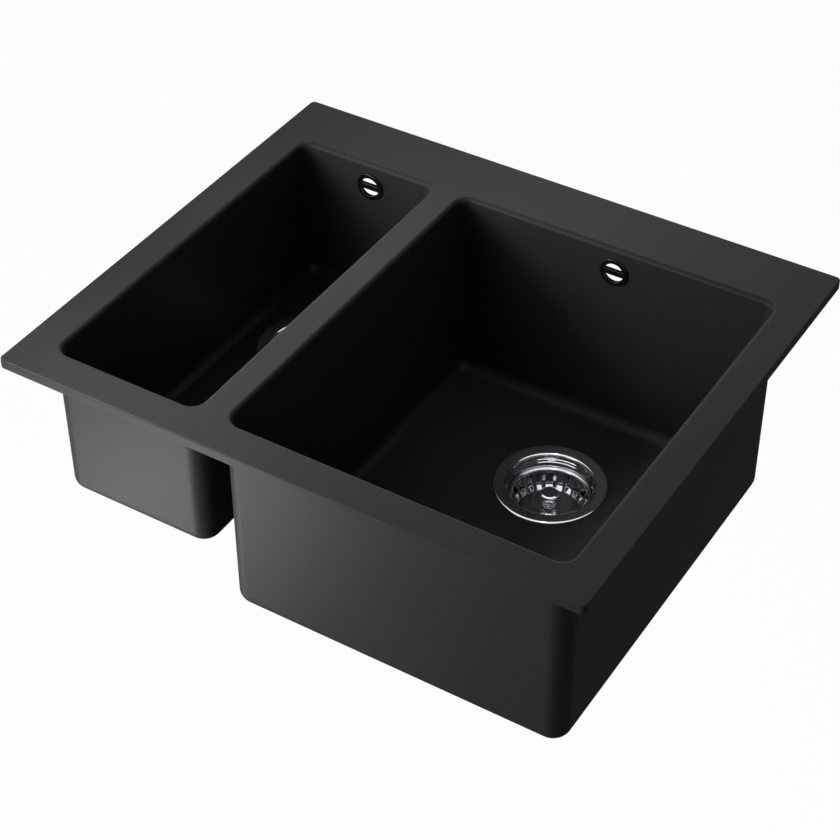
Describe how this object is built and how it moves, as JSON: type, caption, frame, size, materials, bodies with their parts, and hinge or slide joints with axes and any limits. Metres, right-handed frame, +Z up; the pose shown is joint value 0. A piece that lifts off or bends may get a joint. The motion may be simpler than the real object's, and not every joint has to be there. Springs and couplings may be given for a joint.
{
  "type": "double bowl kitchen sink",
  "caption": "Inset kitchen sink in dark stone composite: a narrow shallow bowl beside a wide deep one in a flat rim, each with a basket strainer waste and an overflow.",
  "frame": {"origin": "centre of the rim's outline, on the plane where the rim's underside rests on the worktop", "axes": "+X to the right along the sink's longer side, with the wide bowl at +X; +Y towards the tap deck at the back; +Z up out of the bowls"},
  "size_m": [0.59, 0.5, 0.339],
  "materials": {
    "stone_composite": "fine matt grain, charcoal black",
    "foam_strip": "closed-cell foam",
    "cover_gloss_black": "glossy black",
    "polished_steel": "mirror polished",
    "basket_steel": "bright pressed sheet",
    "tail_steel": "bright tube",
    "black_rubber": "moulded, matt",
    "friction_fibre": "pressed fibre",
    "white_nut_plastic": "moulded, fine texture",
    "clear_washer_plastic": "soft natural polyethylene"
  },
  "bodies": {
    "sink": {"sink_body": "stone_composite", "rim_foam_strip": "foam_strip", "main_overflow_cover": "cover_gloss_black", "side_overflow_cover": "cover_gloss_black", "main_strainer_cup": "polished_steel", "main_flange_gasket": "black_rubber", "main_floor_washer": "black_rubber", "main_friction_ring": "friction_fibre", "main_lock_nut": "white_nut_plastic", "main_outlet_washer": "clear_washer_plastic", "main_tail_pipe": "tail_steel", "main_coupling_nut": "white_nut_plastic", "side_strainer_cup": "polished_steel", "side_flange_gasket": "black_rubber", "side_floor_washer": "black_rubber", "side_friction_ring": "friction_fibre", "side_lock_nut": "white_nut_plastic", "side_outlet_washer": "clear_washer_plastic", "side_tail_pipe": "tail_steel", "side_coupling_nut": "white_nut_plastic"},
    "main_basket_unit": {"main_basket": "basket_steel", "main_basket_post": "polished_steel", "main_basket_stopper": "black_rubber", "main_basket_stem": "basket_steel"},
    "side_basket_unit": {"side_basket": "basket_steel", "side_basket_post": "polished_steel", "side_basket_stopper": "black_rubber", "side_basket_stem": "basket_steel"}
  },
  "joints": [
    {"name": "main_basket_lift", "type": "slide", "parent": "sink", "child": "main_basket_unit", "axis": [0, 0, 1], "range_m": [0, 0.28]},
    {"name": "side_basket_lift", "type": "slide", "parent": "sink", "child": "side_basket_unit", "axis": [0, 0, 1], "range_m": [0, 0.225]}
  ]
}
